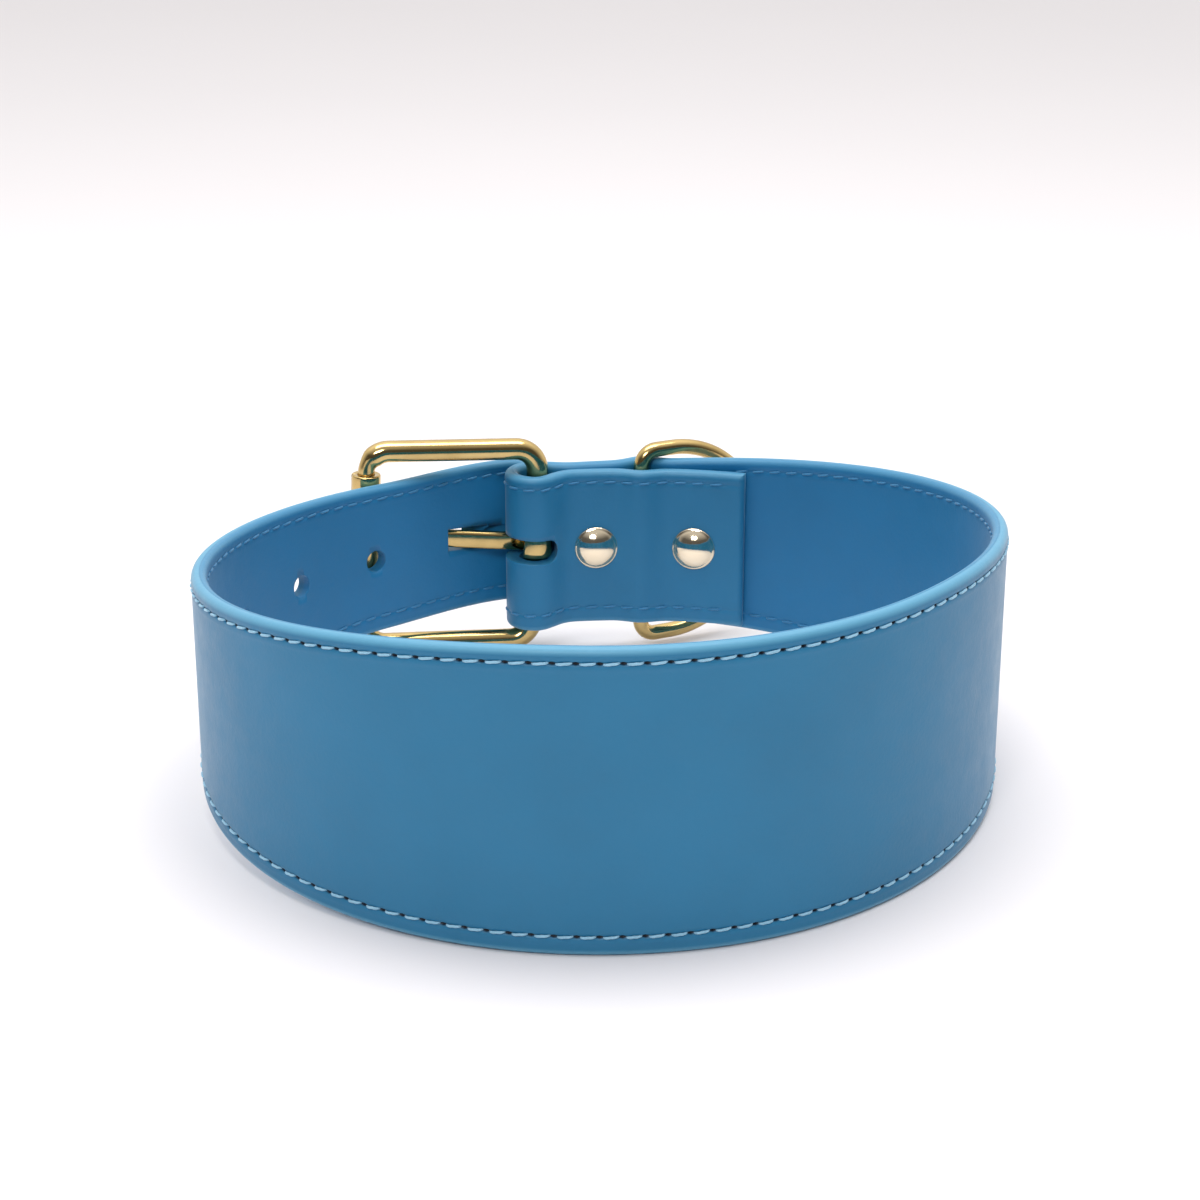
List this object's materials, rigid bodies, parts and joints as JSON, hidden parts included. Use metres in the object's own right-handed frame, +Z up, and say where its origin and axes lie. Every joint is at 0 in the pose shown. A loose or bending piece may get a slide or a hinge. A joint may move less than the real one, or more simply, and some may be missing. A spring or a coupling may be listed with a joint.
{
  "type": "buckle dog collar",
  "caption": "Wide leather dog collar that tapers to a roller buckle, with a D-ring held in the riveted fold beside it; stored fastened and standing on its edge.",
  "frame": {"origin": "on the floor, under the middle of the fastened collar's box", "axes": "+Z up, across the strap; -Y towards the front, where the strap is widest; the buckle, rivets and D-ring are at the back, towards +Y; +X to the right seen from the front"},
  "size_m": [0.1387, 0.1428, 0.05],
  "materials": {
    "outer_leather": "smooth satin, fine grain, blue",
    "lining_leather": "smooth satin, fine grain, blue",
    "thread": "waxed thread, light blue",
    "gold_hardware": "polished, lightly handled",
    "rivet_metal": "polished, pale gold"
  },
  "bodies": {
    "strap": {"outer_leather": "outer_leather", "lining_leather": "lining_leather", "upper_stitching": "thread", "lower_stitching": "thread", "rivet_post_1": "rivet_metal", "rivet_post_2": "rivet_metal", "rivet_cap_1": "rivet_metal", "rivet_cap_2": "rivet_metal"},
    "buckle": {"buckle_frame": "gold_hardware"},
    "roller": {"buckle_roller": "gold_hardware"},
    "prong": {"buckle_prong": "gold_hardware"},
    "ring": {"d_ring": "gold_hardware"}
  },
  "joints": [
    {"name": "buckle_swing", "type": "hinge", "parent": "strap", "child": "buckle", "pos_m": [-0.01297, 0.05538, 0.0226], "axis": [-0.0426, -0.0094, -0.999], "range_deg": [0, 3]},
    {"name": "prong_lift", "type": "hinge", "parent": "buckle", "child": "prong", "pos_m": [-0.01297, 0.05538, 0.0226], "axis": [-0.0426, -0.0094, -0.999], "range_deg": [0, 2.5]},
    {"name": "roller_spin", "type": "hinge", "parent": "buckle", "child": "roller", "pos_m": [-0.04535, 0.04826, 0.02405], "axis": [0.0426, 0.0094, 0.999], "continuous": true},
    {"name": "ring_swing", "type": "hinge", "parent": "strap", "child": "ring", "pos_m": [0.00779, 0.05863, 0.02151], "axis": [0, 0, 1], "range_deg": [0, 116]}
  ]
}
